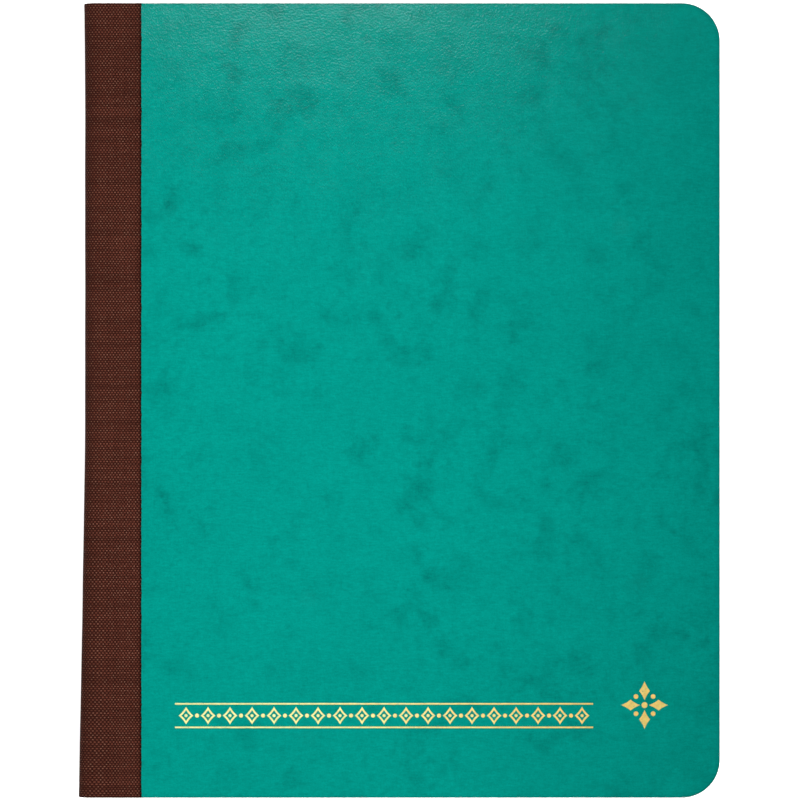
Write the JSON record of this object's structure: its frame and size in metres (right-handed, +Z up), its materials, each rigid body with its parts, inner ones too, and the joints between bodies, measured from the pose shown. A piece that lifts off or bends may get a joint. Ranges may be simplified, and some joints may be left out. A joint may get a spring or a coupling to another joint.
{
  "type": "account book",
  "caption": "Closed quarter-cloth account book with glazed board covers, a rounded cloth spine, round fore-edge corners and ruled leaves sewn in sections.",
  "frame": {"origin": "middle of the closed book's underside, at the lowest face of the back cover", "axes": "+X from the spine to the fore edge, +Y from tail to head, +Z up through the thickness, from the back cover to the front cover"},
  "size_m": [0.2, 0.25, 0.0077],
  "materials": {
    "board": "satin glazed pressboard, mottled teal green",
    "cloth": "plain-weave book cloth, dark red brown",
    "lining": "starched mull, matt",
    "endpaper": "uncoated paper, matt",
    "leaf_paper": "uncoated ruled ledger paper, matt",
    "thread": "waxed linen thread"
  },
  "bodies": {
    "lower_block": {"spine_cloth_lower": "cloth", "spine_lining_lower": "lining", "section_3_folds": "leaf_paper", "section_4_folds": "leaf_paper", "sewing_thread_lower": "thread"},
    "upper_block": {"spine_cloth_upper": "cloth", "spine_lining_upper": "lining", "section_1_folds": "leaf_paper", "section_2_folds": "leaf_paper", "sewing_thread_upper": "thread"},
    "front_cover": {"front_board": "board", "front_cloth": "cloth", "front_pastedown": "endpaper"},
    "back_cover": {"back_board": "board", "back_cloth": "cloth", "back_pastedown": "endpaper"},
    "front_flyleaf": {"front_flyleaf": "endpaper"},
    "back_flyleaf": {"back_flyleaf": "endpaper"},
    "leaf_01": {"leaf_01": "leaf_paper"},
    "leaf_02": {"leaf_02": "leaf_paper"},
    "leaf_03": {"leaf_03": "leaf_paper"},
    "leaf_04": {"leaf_04": "leaf_paper"},
    "leaf_05": {"leaf_05": "leaf_paper"},
    "leaf_06": {"leaf_06": "leaf_paper"},
    "leaf_07": {"leaf_07": "leaf_paper"},
    "leaf_08": {"leaf_08": "leaf_paper"},
    "leaf_09": {"leaf_09": "leaf_paper"},
    "leaf_10": {"leaf_10": "leaf_paper"},
    "leaf_11": {"leaf_11": "leaf_paper"},
    "leaf_12": {"leaf_12": "leaf_paper"},
    "leaf_13": {"leaf_13": "leaf_paper"},
    "leaf_14": {"leaf_14": "leaf_paper"},
    "leaf_15": {"leaf_15": "leaf_paper"},
    "leaf_16": {"leaf_16": "leaf_paper"},
    "leaf_17": {"leaf_17": "leaf_paper"},
    "leaf_18": {"leaf_18": "leaf_paper"},
    "leaf_19": {"leaf_19": "leaf_paper"},
    "leaf_20": {"leaf_20": "leaf_paper"},
    "leaf_21": {"leaf_21": "leaf_paper"},
    "leaf_22": {"leaf_22": "leaf_paper"},
    "leaf_23": {"leaf_23": "leaf_paper"},
    "leaf_24": {"leaf_24": "leaf_paper"},
    "leaf_25": {"leaf_25": "leaf_paper"},
    "leaf_26": {"leaf_26": "leaf_paper"},
    "leaf_27": {"leaf_27": "leaf_paper"},
    "leaf_28": {"leaf_28": "leaf_paper"},
    "leaf_29": {"leaf_29": "leaf_paper"},
    "leaf_30": {"leaf_30": "leaf_paper"},
    "leaf_31": {"leaf_31": "leaf_paper"},
    "leaf_32": {"leaf_32": "leaf_paper"},
    "leaf_33": {"leaf_33": "leaf_paper"},
    "leaf_34": {"leaf_34": "leaf_paper"},
    "leaf_35": {"leaf_35": "leaf_paper"},
    "leaf_36": {"leaf_36": "leaf_paper"},
    "leaf_37": {"leaf_37": "leaf_paper"},
    "leaf_38": {"leaf_38": "leaf_paper"},
    "leaf_39": {"leaf_39": "leaf_paper"},
    "leaf_40": {"leaf_40": "leaf_paper"}
  },
  "joints": [
    {"name": "middle_opening", "type": "hinge", "parent": "lower_block", "child": "upper_block", "pos_m": [-0.1, 0, 0.00387], "axis": [0, -1, 0], "range_deg": [0, 179.9]},
    {"name": "front_cover_hinge", "type": "hinge", "parent": "upper_block", "child": "front_cover", "pos_m": [-0.09613, 0, 0.00864], "axis": [0, -1, 0], "range_deg": [0, 179.9]},
    {"name": "back_cover_hinge", "type": "hinge", "parent": "lower_block", "child": "back_cover", "pos_m": [-0.09613, 0, -0.0001], "axis": [0, 1, 0], "range_deg": [0, 179.9]},
    {"name": "leaf_01_turn", "type": "hinge", "parent": "upper_block", "child": "leaf_01", "pos_m": [-0.09748, 0, 0.00657], "axis": [0, -1, 0], "range_deg": [-0.59, 0]},
    {"name": "leaf_02_turn", "type": "hinge", "parent": "upper_block", "child": "leaf_02", "pos_m": [-0.09748, 0, 0.00645], "axis": [0, -1, 0], "range_deg": [-0.7, 0]},
    {"name": "leaf_03_turn", "type": "hinge", "parent": "upper_block", "child": "leaf_03", "pos_m": [-0.09748, 0, 0.00633], "axis": [0, -1, 0], "range_deg": [-0.82, 0]},
    {"name": "leaf_04_turn", "type": "hinge", "parent": "upper_block", "child": "leaf_04", "pos_m": [-0.09748, 0, 0.00621], "axis": [0, -1, 0], "range_deg": [-0.97, 0]},
    {"name": "leaf_05_turn", "type": "hinge", "parent": "upper_block", "child": "leaf_05", "pos_m": [-0.09748, 0, 0.00609], "axis": [0, -1, 0], "range_deg": [-1.15, 0]},
    {"name": "leaf_06_turn", "type": "hinge", "parent": "upper_block", "child": "leaf_06", "pos_m": [-0.09748, 0, 0.00579], "axis": [0, -1, 0], "range_deg": [-1.36, 0]},
    {"name": "leaf_07_turn", "type": "hinge", "parent": "upper_block", "child": "leaf_07", "pos_m": [-0.09748, 0, 0.00567], "axis": [0, -1, 0], "range_deg": [-1.6, 0]},
    {"name": "leaf_08_turn", "type": "hinge", "parent": "upper_block", "child": "leaf_08", "pos_m": [-0.09748, 0, 0.00555], "axis": [0, -1, 0], "range_deg": [-1.89, 0]},
    {"name": "leaf_09_turn", "type": "hinge", "parent": "upper_block", "child": "leaf_09", "pos_m": [-0.09748, 0, 0.00543], "axis": [0, -1, 0], "range_deg": [-2.24, 0]},
    {"name": "leaf_10_turn", "type": "hinge", "parent": "upper_block", "child": "leaf_10", "pos_m": [-0.09748, 0, 0.00531], "axis": [0, -1, 0], "range_deg": [-2.64, 0]},
    {"name": "leaf_11_turn", "type": "hinge", "parent": "upper_block", "child": "leaf_11", "pos_m": [-0.09843, 0, 0.00519], "axis": [0, -1, 0], "range_deg": [-3.12, 0]},
    {"name": "leaf_12_turn", "type": "hinge", "parent": "upper_block", "child": "leaf_12", "pos_m": [-0.09843, 0, 0.00507], "axis": [0, -1, 0], "range_deg": [-3.69, 0]},
    {"name": "leaf_13_turn", "type": "hinge", "parent": "upper_block", "child": "leaf_13", "pos_m": [-0.09843, 0, 0.00495], "axis": [0, -1, 0], "range_deg": [-4.36, 0]},
    {"name": "leaf_14_turn", "type": "hinge", "parent": "upper_block", "child": "leaf_14", "pos_m": [-0.09843, 0, 0.00483], "axis": [0, -1, 0], "range_deg": [-5.15, 0]},
    {"name": "leaf_15_turn", "type": "hinge", "parent": "upper_block", "child": "leaf_15", "pos_m": [-0.09843, 0, 0.00471], "axis": [0, -1, 0], "range_deg": [-6.08, 0]},
    {"name": "leaf_16_turn", "type": "hinge", "parent": "upper_block", "child": "leaf_16", "pos_m": [-0.09843, 0, 0.00441], "axis": [0, -1, 0], "range_deg": [-7.19, 0]},
    {"name": "leaf_17_turn", "type": "hinge", "parent": "upper_block", "child": "leaf_17", "pos_m": [-0.09843, 0, 0.00429], "axis": [0, -1, 0], "range_deg": [-8.49, 0]},
    {"name": "leaf_18_turn", "type": "hinge", "parent": "upper_block", "child": "leaf_18", "pos_m": [-0.09843, 0, 0.00417], "axis": [0, -1, 0], "range_deg": [-10.03, 0]},
    {"name": "leaf_19_turn", "type": "hinge", "parent": "upper_block", "child": "leaf_19", "pos_m": [-0.09843, 0, 0.00405], "axis": [0, -1, 0], "range_deg": [-11.85, 0]},
    {"name": "leaf_20_turn", "type": "hinge", "parent": "upper_block", "child": "leaf_20", "pos_m": [-0.09843, 0, 0.00393], "axis": [0, -1, 0], "range_deg": [-14, 0]},
    {"name": "leaf_21_turn", "type": "hinge", "parent": "lower_block", "child": "leaf_21", "pos_m": [-0.09843, 0, 0.00381], "axis": [0, -1, 0], "range_deg": [0, 14]},
    {"name": "leaf_22_turn", "type": "hinge", "parent": "lower_block", "child": "leaf_22", "pos_m": [-0.09843, 0, 0.00369], "axis": [0, -1, 0], "range_deg": [0, 11.85]},
    {"name": "leaf_23_turn", "type": "hinge", "parent": "lower_block", "child": "leaf_23", "pos_m": [-0.09843, 0, 0.00357], "axis": [0, -1, 0], "range_deg": [0, 10.03]},
    {"name": "leaf_24_turn", "type": "hinge", "parent": "lower_block", "child": "leaf_24", "pos_m": [-0.09843, 0, 0.00345], "axis": [0, -1, 0], "range_deg": [0, 8.49]},
    {"name": "leaf_25_turn", "type": "hinge", "parent": "lower_block", "child": "leaf_25", "pos_m": [-0.09843, 0, 0.00333], "axis": [0, -1, 0], "range_deg": [0, 7.19]},
    {"name": "leaf_26_turn", "type": "hinge", "parent": "lower_block", "child": "leaf_26", "pos_m": [-0.09843, 0, 0.00303], "axis": [0, -1, 0], "range_deg": [0, 6.08]},
    {"name": "leaf_27_turn", "type": "hinge", "parent": "lower_block", "child": "leaf_27", "pos_m": [-0.09843, 0, 0.00291], "axis": [0, -1, 0], "range_deg": [0, 5.15]},
    {"name": "leaf_28_turn", "type": "hinge", "parent": "lower_block", "child": "leaf_28", "pos_m": [-0.09843, 0, 0.00279], "axis": [0, -1, 0], "range_deg": [0, 4.36]},
    {"name": "leaf_29_turn", "type": "hinge", "parent": "lower_block", "child": "leaf_29", "pos_m": [-0.09843, 0, 0.00267], "axis": [0, -1, 0], "range_deg": [0, 3.69]},
    {"name": "leaf_30_turn", "type": "hinge", "parent": "lower_block", "child": "leaf_30", "pos_m": [-0.09843, 0, 0.00255], "axis": [0, -1, 0], "range_deg": [0, 3.12]},
    {"name": "leaf_31_turn", "type": "hinge", "parent": "lower_block", "child": "leaf_31", "pos_m": [-0.09748, 0, 0.00243], "axis": [0, -1, 0], "range_deg": [0, 2.64]},
    {"name": "leaf_32_turn", "type": "hinge", "parent": "lower_block", "child": "leaf_32", "pos_m": [-0.09748, 0, 0.00231], "axis": [0, -1, 0], "range_deg": [0, 2.24]},
    {"name": "leaf_33_turn", "type": "hinge", "parent": "lower_block", "child": "leaf_33", "pos_m": [-0.09748, 0, 0.00219], "axis": [0, -1, 0], "range_deg": [0, 1.89]},
    {"name": "leaf_34_turn", "type": "hinge", "parent": "lower_block", "child": "leaf_34", "pos_m": [-0.09748, 0, 0.00207], "axis": [0, -1, 0], "range_deg": [0, 1.6]},
    {"name": "leaf_35_turn", "type": "hinge", "parent": "lower_block", "child": "leaf_35", "pos_m": [-0.09748, 0, 0.00195], "axis": [0, -1, 0], "range_deg": [0, 1.36]},
    {"name": "leaf_36_turn", "type": "hinge", "parent": "lower_block", "child": "leaf_36", "pos_m": [-0.09748, 0, 0.00165], "axis": [0, -1, 0], "range_deg": [0, 1.15]},
    {"name": "leaf_37_turn", "type": "hinge", "parent": "lower_block", "child": "leaf_37", "pos_m": [-0.09748, 0, 0.00153], "axis": [0, -1, 0], "range_deg": [0, 0.97]},
    {"name": "leaf_38_turn", "type": "hinge", "parent": "lower_block", "child": "leaf_38", "pos_m": [-0.09748, 0, 0.00141], "axis": [0, -1, 0], "range_deg": [0, 0.82]},
    {"name": "leaf_39_turn", "type": "hinge", "parent": "lower_block", "child": "leaf_39", "pos_m": [-0.09748, 0, 0.00129], "axis": [0, -1, 0], "range_deg": [0, 0.7]},
    {"name": "leaf_40_turn", "type": "hinge", "parent": "lower_block", "child": "leaf_40", "pos_m": [-0.09748, 0, 0.00117], "axis": [0, -1, 0], "range_deg": [0, 0.59]},
    {"name": "front_flyleaf_turn", "type": "hinge", "parent": "upper_block", "child": "front_flyleaf", "pos_m": [-0.09598, 0, 0.00671], "axis": [0, -1, 0], "range_deg": [-0.5, 0]},
    {"name": "back_flyleaf_turn", "type": "hinge", "parent": "lower_block", "child": "back_flyleaf", "pos_m": [-0.09598, 0, 0.00103], "axis": [0, -1, 0], "range_deg": [0, 0.5]}
  ],
  "couplings": [
    {"joint": "leaf_01_turn", "follows": "middle_opening", "ratio": -0.003279},
    {"joint": "leaf_02_turn", "follows": "middle_opening", "ratio": -0.003891},
    {"joint": "leaf_03_turn", "follows": "middle_opening", "ratio": -0.004558},
    {"joint": "leaf_04_turn", "follows": "middle_opening", "ratio": -0.005391},
    {"joint": "leaf_05_turn", "follows": "middle_opening", "ratio": -0.006392},
    {"joint": "leaf_06_turn", "follows": "middle_opening", "ratio": -0.007559},
    {"joint": "leaf_07_turn", "follows": "middle_opening", "ratio": -0.008893},
    {"joint": "leaf_08_turn", "follows": "middle_opening", "ratio": -0.010505},
    {"joint": "leaf_09_turn", "follows": "middle_opening", "ratio": -0.012451},
    {"joint": "leaf_10_turn", "follows": "middle_opening", "ratio": -0.014674},
    {"joint": "leaf_11_turn", "follows": "middle_opening", "ratio": -0.017342},
    {"joint": "leaf_12_turn", "follows": "middle_opening", "ratio": -0.020511},
    {"joint": "leaf_13_turn", "follows": "middle_opening", "ratio": -0.024235},
    {"joint": "leaf_14_turn", "follows": "middle_opening", "ratio": -0.028627},
    {"joint": "leaf_15_turn", "follows": "middle_opening", "ratio": -0.033796},
    {"joint": "leaf_16_turn", "follows": "middle_opening", "ratio": -0.039966},
    {"joint": "leaf_17_turn", "follows": "middle_opening", "ratio": -0.047192},
    {"joint": "leaf_18_turn", "follows": "middle_opening", "ratio": -0.055753},
    {"joint": "leaf_19_turn", "follows": "middle_opening", "ratio": -0.065869},
    {"joint": "leaf_20_turn", "follows": "middle_opening", "ratio": -0.077821},
    {"joint": "leaf_21_turn", "follows": "middle_opening", "ratio": 0.077821},
    {"joint": "leaf_22_turn", "follows": "middle_opening", "ratio": 0.065869},
    {"joint": "leaf_23_turn", "follows": "middle_opening", "ratio": 0.055753},
    {"joint": "leaf_24_turn", "follows": "middle_opening", "ratio": 0.047192},
    {"joint": "leaf_25_turn", "follows": "middle_opening", "ratio": 0.039966},
    {"joint": "leaf_26_turn", "follows": "middle_opening", "ratio": 0.033796},
    {"joint": "leaf_27_turn", "follows": "middle_opening", "ratio": 0.028627},
    {"joint": "leaf_28_turn", "follows": "middle_opening", "ratio": 0.024235},
    {"joint": "leaf_29_turn", "follows": "middle_opening", "ratio": 0.020511},
    {"joint": "leaf_30_turn", "follows": "middle_opening", "ratio": 0.017342},
    {"joint": "leaf_31_turn", "follows": "middle_opening", "ratio": 0.014674},
    {"joint": "leaf_32_turn", "follows": "middle_opening", "ratio": 0.012451},
    {"joint": "leaf_33_turn", "follows": "middle_opening", "ratio": 0.010505},
    {"joint": "leaf_34_turn", "follows": "middle_opening", "ratio": 0.008893},
    {"joint": "leaf_35_turn", "follows": "middle_opening", "ratio": 0.007559},
    {"joint": "leaf_36_turn", "follows": "middle_opening", "ratio": 0.006392},
    {"joint": "leaf_37_turn", "follows": "middle_opening", "ratio": 0.005391},
    {"joint": "leaf_38_turn", "follows": "middle_opening", "ratio": 0.004558},
    {"joint": "leaf_39_turn", "follows": "middle_opening", "ratio": 0.003891},
    {"joint": "leaf_40_turn", "follows": "middle_opening", "ratio": 0.003279},
    {"joint": "front_flyleaf_turn", "follows": "middle_opening", "ratio": -0.002779},
    {"joint": "back_flyleaf_turn", "follows": "middle_opening", "ratio": 0.002779}
  ]
}
